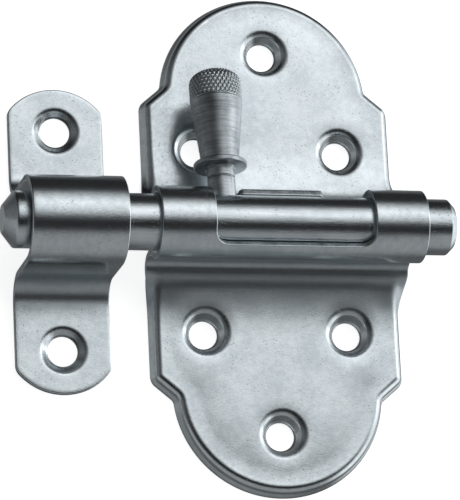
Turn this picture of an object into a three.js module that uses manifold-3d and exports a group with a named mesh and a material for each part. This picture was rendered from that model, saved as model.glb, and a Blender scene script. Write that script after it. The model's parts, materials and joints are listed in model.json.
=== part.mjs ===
// Toggle bolt latch: a pressed plate with a sleeve, a round bolt with a turned knob, and a keeper.
// Millimetres. X runs along the bolt, Y along the plate, +Z away from the surface it is screwed to.
import * as THREE from 'three';
import { mergeVertices } from 'three/addons/utils/BufferGeometryUtils.js';
import Module from 'manifold-3d';

const wasm = await Module();
wasm.setup();

// Plate
const plateWidth = 60;
const plateLength = 120.4;
const sheet = 1.6;
const faceHeight = 4;
const lobeStep = 5.1;
const shoulderOuterRadius = 3;
const shoulderInnerRadius = 2;
const shoulderAngle = 50;
const lobeStartAngle = 7;
const rimFootHeight = 0.5;
const rimFlare = 0.8;
const rimRadius = 1.8;
// Screw holes of the plate
const endHoleY = 45.8;
const sideHoleX = 17.1;
const sideHoleY = 21.9;
const plateHoleRadius = 3.3;
const plateHoleEdge = 0.5;
const dimpleRadius = 6;
const dimpleBendRadius = 4.65;
const dimpleBendHeight = 2.9;
const dimpleLip = 0.4;
const bossFootRadius = 5.2;
const bossTopRadius = 7.4;
// Bolt and sleeve
const boltRadius = 6.5;
const axisHeight = 18;
const boreClearance = 0.3;
const sleeveOverhang = 1.3;
const sleeveFillet = 6;
const sleeveRoot = 0.8;
const slotFrontAngle = 141;
const slotCornerRadius = 3.5;
const tailOut = 7.5;
const tipOut = 5.4;
const tipConeLength = 2.7;
const tipFlatRadius = 3.2;
const tailBevel = 1.5;
// Knob
const studRadius = 3.2;
const studPlay = 0.3;
const restTilt = -4;
const lockedTilt = -12;
const studDepth = 4.5;
const collarDistance = 13.4;
const collarRadius = 6.15;
const collarThickness = 1.2;
const gripLowRadius = 4.3;
const gripHighRadius = 6.1;
const gripConeEnd = 30;
const gripRimEnd = 34;
const gripEnd = 37.5;
const spigotRadius = 2.2;
const spigotLength = 9;
// Lip that holds the turned knob at either end of its travel
const lipLean = 1.5;
const lipRootDrop = 11;
const lipRootOverlap = 0.5;
const lipGap = 0.3;
const notchGap = 0.5;
const notchWidth = 8.7;
// Keeper
const keeperWidth = 22.2;
const keeperLength = 72.6;
const keeperSheet = 1.6;
const keeperClearance = 2.2;
const keeperFillet = 5;
const keeperGap = 7.8;
const keeperEndRadius = 13.7;
const keeperCornerRadius = 3;
const keeperHoleY = 26.1;
const keeperHoleRadius = 3.4;
const keeperHoleEdge = 0.3;
const keeperSinkRadius = 5.4;
// Running room
const withdrawRoom = 2.8;
const seam = 0.3;
const over = 2;
const arcStep = 9;

const boreRadius = boltRadius + boreClearance;
const sleeveRadius = boreRadius + sheet;
const sleeveHalf = plateWidth / 2 + sleeveOverhang;
const keeperInnerRadius = boltRadius + keeperClearance;
const keeperRadius = keeperInnerRadius + keeperSheet;
const keeperX = -(sleeveHalf + keeperGap + keeperWidth / 2);
const tipX = keeperX - keeperWidth / 2 - tipOut;
const tailX = sleeveHalf + tailOut;
const travel = keeperWidth + tipOut + withdrawRoom;
const slotHalf = travel / 2 + studRadius + studPlay;
const knobX = -travel / 2;
const lipHalf = slotHalf - notchWidth;

const rad = THREE.MathUtils.degToRad;

// Drop of the stud's lower side below the bolt's axis, where it passes a wall at distance y.
const studDrop = (y, tilt) => y * Math.tan(rad(-tilt)) + studRadius / Math.cos(rad(tilt));
const lipTop = axisHeight - studDrop(sleeveRadius + lipLean, restTilt) - lipGap;
const notchBottom = axisHeight - studDrop(sleeveRadius, lockedTilt) - notchGap;

const zinc = new THREE.MeshStandardMaterial({ color: 0x9aa3a8, metalness: 0.9, roughness: 0.38 });
const turned = new THREE.MeshStandardMaterial({ color: 0x8f989d, metalness: 0.9, roughness: 0.32 });

// Points of an arc about (cx, cy), from angle a0 to a1 in degrees.
function arc(cx, cy, radius, a0, a1, step = arcStep) {
  const count = Math.max(2, Math.ceil(Math.abs(a1 - a0) / step));
  const points = [];
  for (let i = 0; i <= count; i++) {
    const a = rad(a0 + ((a1 - a0) * i) / count);
    points.push([cx + radius * Math.cos(a), cy + radius * Math.sin(a)]);
  }
  return points;
}

function toSolid(geometry) {
  const bare = geometry.clone();
  bare.deleteAttribute('normal');
  bare.deleteAttribute('uv');
  const merged = mergeVertices(bare, 1e-4);
  const vertProperties = new Float32Array(merged.attributes.position.array);
  const triVerts = new Uint32Array(merged.index.array);
  return new wasm.Manifold(new wasm.Mesh({ numProp: 3, vertProperties, triVerts }));
}

function toGeometry(solid) {
  const mesh = solid.getMesh();
  const geometry = new THREE.BufferGeometry();
  geometry.setAttribute('position', new THREE.BufferAttribute(mesh.vertProperties, 3));
  geometry.setIndex(new THREE.BufferAttribute(mesh.triVerts, 1));
  geometry.computeVertexNormals();
  return geometry;
}

// A body through rings of equal point count. The flat shape of capPoints closes the first and the last.
function loft(rings, capPoints) {
  const count = rings[0].length;
  const index = [];
  for (let r = 0; r < rings.length - 1; r++) {
    for (let i = 0; i < count; i++) {
      const a = r * count + i;
      const b = r * count + ((i + 1) % count);
      index.push(a, b, b + count, a, b + count, a + count);
    }
  }
  const last = (rings.length - 1) * count;
  const cap = capPoints.map((p) => new THREE.Vector2(...p));
  for (const [a, b, c] of THREE.ShapeUtils.triangulateShape(cap, [])) {
    index.push(c, b, a);
    index.push(last + a, last + b, last + c);
  }
  const geometry = new THREE.BufferGeometry();
  geometry.setAttribute('position', new THREE.Float32BufferAttribute(rings.flat(2), 3));
  geometry.setIndex(index);
  return geometry;
}

// A profile of (y, z) points carried along X.
function prism(profile, x0, x1) {
  const shape = new THREE.Shape(profile.map((p) => new THREE.Vector2(...p)));
  const geometry = new THREE.ExtrudeGeometry(shape, { depth: x1 - x0, bevelEnabled: false });
  const axes = new THREE.Matrix4().makeBasis(
    new THREE.Vector3(0, 1, 0),
    new THREE.Vector3(0, 0, 1),
    new THREE.Vector3(1, 0, 0),
  );
  return geometry.applyMatrix4(axes).translate(x0, 0, 0);
}

// A turned body about Z, from (radius, height) points.
function turnedOnZ(profile, segments = 32) {
  const points = profile.map((p) => new THREE.Vector2(...p));
  return new THREE.LatheGeometry(points, segments).rotateX(Math.PI / 2);
}

// A turned body about X, from (radius, x) points.
function turnedOnX(profile, segments = 40) {
  const points = profile.map((p) => new THREE.Vector2(...p));
  return new THREE.LatheGeometry(points, segments).rotateZ(-Math.PI / 2);
}

// Section of a bridge: flat feet at height z, fillets, walls and a round top about the bolt's axis.
function bridge(radius, fillet, z, bottom) {
  const right = [
    [radius + fillet, bottom],
    ...arc(radius + fillet, z + fillet, fillet, 270, 180, 18),
    ...arc(0, axisHeight, radius, 0, 90),
  ];
  const left = right.slice(0, -1).reverse().map(([y, height]) => [-y, height]);
  return [...right, ...left];
}

// Height from a tucked bridge's fillet centre up to the bolt's axis, and how far out that centre is.
const tuckRise = (fillet, z) => axisHeight - z - fillet;
const tuckFoot = (radius, fillet, z) => Math.sqrt((radius + fillet) ** 2 - tuckRise(fillet, z) ** 2);

// Section of a bridge whose round top runs on under the bolt and meets the fillets in a narrow neck.
function tuckedBridge(radius, fillet, z, bottom) {
  const foot = tuckFoot(radius, fillet, z);
  const tuck = THREE.MathUtils.radToDeg(Math.atan2(tuckRise(fillet, z), foot));
  const right = [
    [foot, bottom],
    ...arc(foot, z + fillet, fillet, 270, 180 - tuck, 14),
    ...arc(0, axisHeight, radius, -tuck, 90).slice(1),
  ];
  const left = right.slice(0, -1).reverse().map(([y, height]) => [-y, height]);
  return [...right, ...left];
}

// One quarter of the plate's outline moved inwards: side, shoulder, hollow, then the round lobe.
function plateQuarter(inset) {
  const half = plateWidth / 2;
  const lobe = half - lobeStep;
  const lobeY = plateLength / 2 - lobe;
  const hollowReach = lobe + shoulderInnerRadius;
  const hollowX = hollowReach * Math.cos(rad(lobeStartAngle));
  const hollowY = lobeY + hollowReach * Math.sin(rad(lobeStartAngle));
  const cornerX = half - shoulderOuterRadius;
  const across = (hollowX - cornerX) * Math.cos(rad(shoulderAngle));
  const reach = shoulderOuterRadius + shoulderInnerRadius - across;
  const cornerY = hollowY - reach / Math.sin(rad(shoulderAngle));
  const hollowStart = shoulderAngle + 180;
  const hollowEnd = lobeStartAngle + 180;
  return [
    ...arc(cornerX, cornerY, shoulderOuterRadius - inset, 0, shoulderAngle, 14),
    ...arc(hollowX, hollowY, shoulderInnerRadius + inset, hollowStart, hollowEnd, 14),
    ...arc(0, lobeY, lobe - inset, lobeStartAngle, 90, 7).slice(1),
  ];
}

function plateOutline(inset) {
  const first = plateQuarter(inset);
  const second = first.slice(0, -1).reverse().map(([x, y]) => [-x, y]);
  const upper = [...first, ...second];
  const lower = upper.slice(1, -1).map(([x, y]) => [-x, -y]);
  return [...upper, [upper.at(-1)[0], -upper.at(-1)[1]], ...lower, [upper[0][0], -upper[0][1]]];
}

function pressedPan() {
  const footInset = sheet;
  const rimCentre = rimFlare + rimRadius;
  const rimHeight = faceHeight - rimRadius;
  const innerRadius = rimRadius - sheet;
  const steps = [
    [rimCentre, faceHeight - sheet],
    [rimCentre - innerRadius, rimHeight],
    [footInset, rimFootHeight],
    [footInset, 0],
    [0, 0],
    [0, rimFootHeight],
    ...arc(rimCentre, rimHeight, rimRadius, 180, 90, 22.5),
  ];
  const rings = steps.map(([inset, z]) => plateOutline(inset).map(([x, y]) => [x, y, z]));
  return toSolid(loft(rings, plateOutline(rimCentre)));
}

function plateHoles() {
  const underside = faceHeight - sheet;
  const bossTop = underside + dimpleLip;
  const boss = turnedOnZ([[0, 0], [bossFootRadius, 0], [bossTopRadius, bossTop], [0, bossTop]]);
  const funnel = turnedOnZ([
    [0, -over],
    [plateHoleRadius, -over],
    [plateHoleRadius, plateHoleEdge],
    [dimpleBendRadius, dimpleBendHeight],
    [dimpleRadius, faceHeight],
    [dimpleRadius + dimpleLip, faceHeight + over],
    [0, faceHeight + over],
  ]);
  const places = [[0, endHoleY], [0, -endHoleY]];
  for (const sx of [-1, 1]) {
    for (const sy of [-1, 1]) {
      places.push([sx * sideHoleX, sy * sideHoleY]);
    }
  }
  return {
    bosses: places.map(([x, y]) => toSolid(boss.clone().translate(x, y, 0))),
    funnels: places.map(([x, y]) => toSolid(funnel.clone().translate(x, y, 0))),
  };
}

// Long opening over the top and front of the sleeve, with round corners at its front edge.
function slotCutter() {
  const far = sleeveRadius + 3 * over;
  const rings = [];
  const place = (x, rise) => {
    const a = rad(slotFrontAngle) - rise / sleeveRadius;
    rings.push([
      [x, 0, axisHeight],
      [x, 0, lipTop],
      [x, far, lipTop],
      [x, far, axisHeight + far],
      [x, -far, axisHeight + far],
      [x, far * Math.cos(a), axisHeight + far * Math.sin(a)],
    ]);
  };
  for (const [a, y] of arc(0, 0, slotCornerRadius, 180, 90, 18)) {
    place(-slotHalf + slotCornerRadius + a, slotCornerRadius - y);
  }
  for (const [a, y] of arc(0, 0, slotCornerRadius, 90, 0, 18)) {
    place(slotHalf - slotCornerRadius + a, slotCornerRadius - y);
  }
  return toSolid(loft(rings, rings[0].map(([, y, z]) => [y, z])));
}

function basePlate() {
  const { bosses, funnels } = plateHoles();
  const underside = faceHeight - sheet;
  const section = tuckedBridge(sleeveRadius, sleeveFillet, faceHeight, underside + sleeveRoot);
  const outer = prism(section, -sleeveHalf, sleeveHalf);
  const reach = sleeveHalf + over;
  const inner = prism(tuckedBridge(boreRadius, sleeveFillet + sheet, underside, -over), -reach, reach);
  const root = axisHeight - lipRootDrop;
  const wall = [[0, root], [sleeveRadius + over, root], [sleeveRadius + over, axisHeight], [0, axisHeight]];
  const foot = tuckFoot(sleeveRadius, sleeveFillet, faceHeight);
  const neck = (radius, z) => foot - Math.sqrt(radius ** 2 - (faceHeight + sleeveFillet - z) ** 2);
  const base = root - lipRootOverlap;
  const lip = [
    [neck(sleeveFillet + sheet, base) + seam, base],
    [neck(sleeveFillet, base) - seam, base],
    [neck(sleeveFillet, root), root],
    [sleeveRadius + lipLean, lipTop],
    [boreRadius + lipLean, lipTop],
    [neck(sleeveFillet + sheet, root), root],
  ];
  const notch = [
    [0, notchBottom],
    [sleeveRadius + over, notchBottom],
    [sleeveRadius + over, axisHeight],
    [0, axisHeight],
  ];
  let solid = pressedPan().add(toSolid(outer));
  for (const boss of bosses) solid = solid.add(boss);
  solid = solid.subtract(toSolid(inner));
  for (const funnel of funnels) solid = solid.subtract(funnel);
  solid = solid.subtract(slotCutter());
  solid = solid.subtract(toSolid(prism(wall, -lipHalf, lipHalf)));
  solid = solid.add(toSolid(prism(lip, -lipHalf, lipHalf)));
  for (const [x0, x1] of [[-slotHalf, -lipHalf], [lipHalf, slotHalf]]) {
    solid = solid.subtract(toSolid(prism(notch, x0, x1)));
  }
  return toGeometry(solid);
}

function boltBar() {
  const bar = turnedOnX([
    [0, keeperX + seam / 2],
    [boltRadius, keeperX + seam / 2],
    [boltRadius, tailX - tailBevel],
    [boltRadius - tailBevel, tailX],
    [0, tailX],
  ]);
  const hole = turnedOnX([
    [0, boltRadius - studDepth],
    [studRadius + seam, boltRadius - studDepth],
    [studRadius + seam, boltRadius + over],
    [0, boltRadius + over],
  ], 28);
  hole.rotateZ(Math.PI / 2).rotateX(rad(restTilt)).translate(knobX, 0, 0);
  return toGeometry(toSolid(bar).subtract(toSolid(hole)));
}

function boltNose() {
  return turnedOnX([
    [0, tipX],
    [tipFlatRadius, tipX],
    [boltRadius, tipX + tipConeLength],
    [boltRadius, keeperX - seam / 2],
    [0, keeperX - seam / 2],
  ]);
}

// Stud pressed into the bolt; its thinner end carries the grip.
function knobStud() {
  const foot = boltRadius - studDepth + seam;
  return new THREE.LatheGeometry([
    [0, foot],
    [studRadius, foot],
    [studRadius, collarDistance - seam],
    [spigotRadius, collarDistance - seam],
    [spigotRadius, collarDistance + spigotLength],
    [0, collarDistance + spigotLength],
  ].map((p) => new THREE.Vector2(...p)), 28);
}

// Grip turned in one piece: collar, cone and domed head, bored for the stud.
function knobGrip() {
  const dome = gripEnd - gripRimEnd;
  const boreR = spigotRadius + seam;
  const boreEnd = collarDistance + spigotLength + seam;
  const head = arc(0, 0, 1, 0, 90, 18).map(([c, s]) => [gripHighRadius * c, gripRimEnd + dome * s]);
  return new THREE.LatheGeometry([
    [0, boreEnd],
    [boreR, boreEnd],
    [boreR, collarDistance],
    [collarRadius, collarDistance],
    [collarRadius, collarDistance + collarThickness],
    [gripLowRadius, collarDistance + collarThickness],
    [gripHighRadius, gripConeEnd],
    ...head.slice(0, -1),
    [0, gripEnd],
  ].map((p) => new THREE.Vector2(...p)), 36);
}

// Plan of the keeper: straight sides, small corners and shallow round ends.
function keeperPlan() {
  const half = keeperWidth / 2;
  const endY = keeperLength / 2 - keeperEndRadius;
  const cornerX = half - keeperCornerRadius;
  const cornerY = endY + Math.sqrt((keeperEndRadius - keeperCornerRadius) ** 2 - cornerX ** 2);
  const a = THREE.MathUtils.radToDeg(Math.atan2(cornerY - endY, cornerX));
  const upper = [
    ...arc(cornerX, cornerY, keeperCornerRadius, 0, a, 14),
    ...arc(0, endY, keeperEndRadius, a, 180 - a).slice(1, -1),
    ...arc(-cornerX, cornerY, keeperCornerRadius, 180 - a, 180, 14),
  ];
  return [...upper, ...upper.map(([x, y]) => [-x, -y])];
}

function keeper() {
  const half = keeperWidth / 2 + over;
  const plan = new THREE.Shape(keeperPlan().map((p) => new THREE.Vector2(...p)));
  const height = axisHeight + keeperRadius + over;
  const block = new THREE.ExtrudeGeometry(plan, { depth: height + over, bevelEnabled: false });
  block.translate(0, 0, -over);
  const far = keeperLength / 2 + over;
  const ears = [[-far, 0], [far, 0], [far, keeperSheet], [-far, keeperSheet]];
  const outer = bridge(keeperRadius, keeperFillet, keeperSheet, keeperSheet / 2);
  const inner = bridge(keeperInnerRadius, keeperFillet + keeperSheet, 0, -over);
  const sink = turnedOnZ([
    [0, -over],
    [keeperHoleRadius, -over],
    [keeperHoleRadius, keeperHoleEdge],
    [keeperSinkRadius, keeperSheet],
    [keeperSinkRadius, keeperSheet + over],
    [0, keeperSheet + over],
  ]);
  let solid = toSolid(prism(ears, -half, half)).add(toSolid(prism(outer, -half, half)));
  solid = solid.subtract(toSolid(prism(inner, -half - 1, half + 1))).intersect(toSolid(block));
  for (const side of [-1, 1]) {
    solid = solid.subtract(toSolid(sink.clone().translate(0, side * keeperHoleY, 0)));
  }
  return toGeometry(solid);
}

function piece(name, geometry, material) {
  const mesh = new THREE.Mesh(geometry, material);
  mesh.name = name;
  return mesh;
}

// The latch stands with the middle of its whole outline over the origin.
const latch = new THREE.Group();
latch.position.x = -(tipX + tailX) / 2;

const bolt = new THREE.Group();
bolt.position.z = axisHeight;
bolt.add(piece('bolt_bar', boltBar(), zinc));
bolt.add(piece('bolt_nose', boltNose(), zinc));

const knob = new THREE.Group();
knob.position.x = knobX;
knob.rotation.x = rad(restTilt);
knob.add(piece('knob_stud', knobStud(), turned));
knob.add(piece('knob_grip', knobGrip(), turned));
bolt.add(knob);

const strike = piece('keeper', keeper(), zinc);
strike.position.x = keeperX;

latch.add(piece('base_plate', basePlate(), zinc), bolt, strike);

const model = new THREE.Group();
model.add(latch);

export default model;
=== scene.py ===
"""Toggle bolt latch: the finished look of the packed model, made as a Blender add-on and run as a script.

Metres, in the packed model's own frame: X runs along the bolt, Y along the plate, Z out of the surface.
"""
import json
import math

import bpy
import numpy as np
from bpy.props import FloatProperty, FloatVectorProperty, IntProperty, PointerProperty
from mathutils import Matrix, Vector
from mathutils.geometry import delaunay_2d_cdt


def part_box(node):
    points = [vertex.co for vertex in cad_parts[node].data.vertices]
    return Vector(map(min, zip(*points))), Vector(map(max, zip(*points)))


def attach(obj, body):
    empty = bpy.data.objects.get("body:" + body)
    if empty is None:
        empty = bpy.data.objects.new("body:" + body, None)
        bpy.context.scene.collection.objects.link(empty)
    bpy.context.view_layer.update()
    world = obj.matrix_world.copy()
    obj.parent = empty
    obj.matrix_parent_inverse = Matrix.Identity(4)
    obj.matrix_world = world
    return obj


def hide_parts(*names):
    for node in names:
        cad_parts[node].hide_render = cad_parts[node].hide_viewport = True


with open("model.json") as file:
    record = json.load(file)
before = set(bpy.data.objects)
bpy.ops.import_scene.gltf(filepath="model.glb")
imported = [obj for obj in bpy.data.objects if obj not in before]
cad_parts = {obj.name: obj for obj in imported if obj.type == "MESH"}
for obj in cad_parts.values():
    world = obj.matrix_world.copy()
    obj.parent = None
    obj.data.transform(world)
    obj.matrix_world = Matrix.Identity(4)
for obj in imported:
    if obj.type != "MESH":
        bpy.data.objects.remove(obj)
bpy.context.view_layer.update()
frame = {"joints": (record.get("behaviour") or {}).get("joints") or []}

bl_info = {
    "name": "Toggle Bolt Latch",
    "version": (1, 0, 0),
    "blender": (4, 5, 0),
    "location": "3D View > Sidebar > Latch",
    "description": "Builds a zinc plated toggle bolt latch around its packed frame",
    "category": "Object",
}

MM = 0.001


PLATE_LOW, PLATE_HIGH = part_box("base_plate")
KEEPER_LOW, KEEPER_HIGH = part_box("keeper")
BAR_LOW, BAR_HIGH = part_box("bolt_bar")
NOSE_LOW, NOSE_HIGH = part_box("bolt_nose")
BOLT_RADIUS = (BAR_HIGH[2] - BAR_LOW[2]) / 2
BOLT_HEIGHT = (BAR_HIGH[2] + BAR_LOW[2]) / 2
PLATE_X = (PLATE_HIGH[0] + PLATE_LOW[0]) / 2
KEEPER_X = (KEEPER_HIGH[0] + KEEPER_LOW[0]) / 2
KNOB_X = next(j for j in frame["joints"] if j["name"] == "knob_turn")["pos_m"][0]
TRAVEL = next(j for j in frame["joints"] if j["name"] == "bolt_slide")["range_m"][1]


def length(name, description, default):
    return FloatProperty(name=name, description=description, default=default, unit="LENGTH", precision=5)


def degrees(name, description, default):
    return FloatProperty(name=name, description=description, default=math.radians(default), subtype="ANGLE")


def share(name, description, default):
    return FloatProperty(name=name, description=description, default=default, min=0, max=1, subtype="FACTOR")


def colour(name, description, default):
    return FloatVectorProperty(name=name, description=description, default=default, size=3, subtype="COLOR",
                               min=0, max=1)


class LatchPlateSizes(bpy.types.PropertyGroup):
    """Sizes of the pressed plate and its sleeve."""

    width: length("Width", "Width of the plate across its straight sides", 60 * MM)
    sheet: length("Sheet", "Thickness of the sheet", 1.6 * MM)
    face: length("Face height", "Height of the plate's face above the surface", 4 * MM)
    rim: length("Rim radius", "Radius of the rounded rim", 1.8 * MM)
    flare: length("Rim flare", "How far the rim's wall leans out", 0.8 * MM)
    lobe_step: length("Lobe step", "How far each lobe stands in from the sides", 5.1 * MM)
    shoulder_out: length("Shoulder radius", "Radius of the shoulder's outer corner", 3 * MM)
    shoulder_in: length("Hollow radius", "Radius of the hollow beside the shoulder", 2 * MM)
    shoulder_turn: degrees("Shoulder angle", "How far the outline turns at the shoulder", 50)
    lobe_start: degrees("Lobe start", "Angle at which the lobe's round outline starts", 7)
    bore: length("Bore radius", "Inner radius of the sleeve", BOLT_RADIUS + 0.3 * MM)
    fillet: length("Sleeve fillet", "Radius of the bend from the face into the sleeve", 6 * MM)
    slot_front: degrees("Slot front", "Angle of the slot's front edge about the bolt, from +Y", 141)
    slot_corner: length("Slot corner", "Radius of the slot's front corners", 3.5 * MM)
    stud_room: length("Stud room", "Half width that the stud takes at each end of the slot", 3.5 * MM)
    notch: length("Notch width", "Width of the notch at each end of the lip", 8.7 * MM)
    notch_drop: length("Notch drop", "Depth of the notch below the bolt's axis", 5.56 * MM)
    lip_drop: length("Lip drop", "Depth of the lip's edge below the bolt's axis", 4.2 * MM)
    lip_root: length("Lip root", "Depth below the bolt's axis at which the lip starts to lean", 11 * MM)
    lip_lean: length("Lip lean", "How far the lip leans out", 1.5 * MM)
    hole: length("Hole radius", "Radius of the screw holes", 3.3 * MM)
    dimple: length("Dimple radius", "Radius of the dimple round each hole", 6.0 * MM)
    end_hole: length("End holes", "Distance of the end holes from the bolt", 45.8 * MM)
    side_hole_x: length("Side holes across", "Distance of the side holes from the centre line", 17.1 * MM)
    side_hole_y: length("Side holes along", "Distance of the side holes from the bolt", 21.9 * MM)
    pillow: length("Edge drop", "How far the face falls towards its rim", 0.42 * MM)
    pillow_reach: length("Edge reach", "Width of the strip in which the face falls", 8 * MM)
    swell: length("Swell", "How far the face swells up beside the sleeve", 1.5 * MM)
    swell_end: length("Swell end", "Distance from the bolt at which the swell ends", 23 * MM)


class LatchKeeperSizes(bpy.types.PropertyGroup):
    """Sizes of the keeper."""

    sheet: length("Sheet", "Thickness of the strip", 1.6 * MM)
    inner: length("Bridge radius", "Inner radius of the bridge", BOLT_RADIUS + 2.2 * MM)
    fillet: length("Fillet", "Radius of the bend from the ear into the bridge", 5 * MM)
    end_radius: length("End radius", "Radius of the shallow round end of each ear", 13.7 * MM)
    corner: length("Corner radius", "Radius of the ears' corners", 3 * MM)
    hole: length("Hole radius", "Radius of the screw holes", 3.4 * MM)
    sink: length("Countersink radius", "Radius of the countersink at the face", 5.4 * MM)
    hole_y: length("Hole distance", "Distance of the holes from the bolt", 26.1 * MM)


class LatchBoltSizes(bpy.types.PropertyGroup):
    """Sizes of the bolt and of the knob on it."""

    nose_cone: length("Nose cone", "Length of the cone at the nose", 2.7 * MM)
    nose_flat: length("Nose flat", "Radius of the flat at the nose", 3.2 * MM)
    tail_bevel: length("Tail bevel", "Width of the bevel at the tail", 1.5 * MM)
    tilt: degrees("Knob tilt", "Lean of the knob out of the plate's plane at rest", -4)
    stud: length("Stud radius", "Radius of the knob's stud", 3.2 * MM)
    collar_at: length("Collar distance", "Distance of the collar from the bolt's axis", 13.4 * MM)
    collar: length("Collar radius", "Radius of the collar", 6.15 * MM)
    collar_thick: length("Collar thickness", "Thickness of the collar", 1.2 * MM)
    cone_low: length("Cone foot radius", "Radius of the grip's cone at the collar", 4.3 * MM)
    cone_high: length("Cone head radius", "Radius of the grip's cone at the knurling", 6.1 * MM)
    cone_end: length("Cone end", "Distance of the knurling's start from the bolt's axis", 30 * MM)
    dome_start: length("Dome start", "Distance of the dome's start from the bolt's axis", 34 * MM)
    top: length("Knob end", "Distance of the knob's end from the bolt's axis", 37.5 * MM)
    knurls: IntProperty(name="Knurls", description="Diamonds round the grip's head", default=36, min=8)
    knurl_depth: length("Knurl depth", "Depth of the knurling", 0.36 * MM)


class LatchFinish(bpy.types.PropertyGroup):
    """Colours and gloss of the plated steel."""

    zinc_light: colour("Zinc", "Colour of the clean zinc plate", (0.69, 0.73, 0.75))
    zinc_dark: colour("Dull zinc", "Colour of the dull patches", (0.57, 0.615, 0.64))
    # The pit colour also serves as the painted shade in the bend below the sleeve.
    zinc_pit: colour("Pits", "Colour of the pits", (0.20, 0.225, 0.24))
    worn: colour("Worn edges", "Colour of the rubbed edges", (0.8, 0.83, 0.85))
    turned_light: colour("Turned steel", "Colour of the turned knob", (0.47, 0.50, 0.52))
    # The tool mark colour also serves as the painted shade in the knob's hollows and knurl grooves.
    turned_dark: colour("Tool marks", "Colour inside the tool marks", (0.20, 0.22, 0.235))
    plate_gloss: share("Sheet roughness", "Roughness of the pressed sheet", 0.20)
    bolt_gloss: share("Bar roughness", "Roughness of the drawn bar", 0.19)
    knob_gloss: share("Knob roughness", "Roughness of the turned knob", 0.30)


class LatchStudio(bpy.types.PropertyGroup):
    """The floor, the light and the camera."""

    aim: FloatVectorProperty(name="Aim", description="Point on the back plane that the camera looks at",
                             default=(PLATE_X - 9.548 * MM, -1.221 * MM, 0.0), size=3, subtype="TRANSLATION")
    turn: degrees("Turn", "Camera's turn about the plate's length", 14.326)
    rise: degrees("Rise", "Camera's tilt about the bolt", -15.208)
    roll: degrees("Roll", "Camera's roll", 2.847)
    distance: length("Distance", "Camera's distance from the aim", 866.4 * MM)
    lens: FloatProperty(name="Lens", description="Focal length in millimetres", default=268.32)
    key: FloatProperty(name="Softbox", description="Brightness of the large softbox", default=1.4)
    floor: colour("Floor", "Colour of the floor", (0.9, 0.9, 0.9))


# ---------------------------------------------------------------- shapes

PLATE_EDGE = 0.22 * MM
KEEPER_EDGE = 0.28 * MM
KEEPER_HOLE_EDGE = 0.18 * MM
PLATE_GAP = 1.0 * MM
KEEPER_GAP = 0.9 * MM
BEND_GAP = 0.8 * MM
FINE_GAP = 0.7 * MM
HOLE_FOOT = 0.5 * MM
SWELL_TOP = 0.75
SWELL_FOOT = 0.4
CORNER_STEPS = 3
BAR_SIDES = 128
STEM_SIDES = 96
KNURL_STEPS = 12
KNURL_PITCH = 1.7 * MM
HOLE_TURN = np.arange(72) * 2 * math.pi / 72
HOLE_CIRCLE = np.stack([np.cos(HOLE_TURN), np.sin(HOLE_TURN)], 1)


def arc(cx, cy, radius, a0, a1, step):
    """Points of an arc: centre plus radius times (cos, sin) of an angle that runs evenly from a0 to a1."""
    count = max(2, int(math.ceil(abs(a1 - a0) / step)) + 1)
    a = np.linspace(a0, a1, count)
    return np.stack([cx + radius * np.cos(a), cy + radius * np.sin(a)], 1)


def rounded(corners, radii, step=math.radians(9), closed=True):
    """Outline through corners, each corner cut by the arc of its radius that touches both its sides."""
    corners = np.asarray(corners, float)
    count = len(corners)
    made = []
    for i in range(count):
        if not closed and i in (0, count - 1) or radii[i] <= 0:
            made.append(corners[i:i + 1])
            continue
        back = corners[i - 1] - corners[i]
        on = corners[(i + 1) % count] - corners[i]
        back /= np.linalg.norm(back)
        on /= np.linalg.norm(on)
        half = math.acos(np.clip(back @ on, -1, 1)) / 2
        middle = (back + on) / np.linalg.norm(back + on)
        centre = corners[i] + middle * radii[i] / math.sin(half)
        first = corners[i] + back * radii[i] / math.tan(half) - centre
        last = corners[i] + on * radii[i] / math.tan(half) - centre
        a0 = math.atan2(first[1], first[0])
        turn = (math.atan2(last[1], last[0]) - a0 + math.pi) % (2 * math.pi) - math.pi
        made.append(arc(centre[0], centre[1], radii[i], a0, a0 + turn, step))
    return np.concatenate(made)


def spaced(points, gap, closed=True):
    """The same outline with every side longer than gap cut into even parts."""
    ends = np.roll(points, -1, 0) if closed else points[1:]
    starts = points if closed else points[:-1]
    counts = np.maximum(1, np.ceil(np.linalg.norm(ends - starts, axis=1) / gap))
    parts = [a + (b - a) * np.arange(n)[:, None] / n for a, b, n in zip(starts, ends, counts)]
    return np.concatenate(parts if closed else parts + [points[-1:]])


def closed_profile(corners, radii, gap, step=math.radians(9)):
    """A turned body's profile, rounded and cut to gap, with its first and last points left on the axis."""
    line = rounded(corners, radii, step, closed=False)
    return np.concatenate([line[:1], spaced(line[1:-1], gap, closed=False), line[-1:]])


def ring(line, centre):
    """Each point (radius, height) of a line turned about an upright axis through centre."""
    plan = line[:, None, :1] * HOLE_CIRCLE + centre
    return np.concatenate([plan, np.broadcast_to(line[:, None, 1:], plan.shape[:2] + (1,))], -1)


def run_length(points):
    """Length along a line from its first point to each of its points."""
    return np.concatenate([[0.0], np.cumsum(np.linalg.norm(np.diff(points, axis=0), axis=1))])


def smooth_step(t):
    """0 below 0, 1 above 1, and t squared times (3 - 2 t) between."""
    t = np.clip(t, 0, 1)
    return t * t * (3 - 2 * t)


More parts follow.
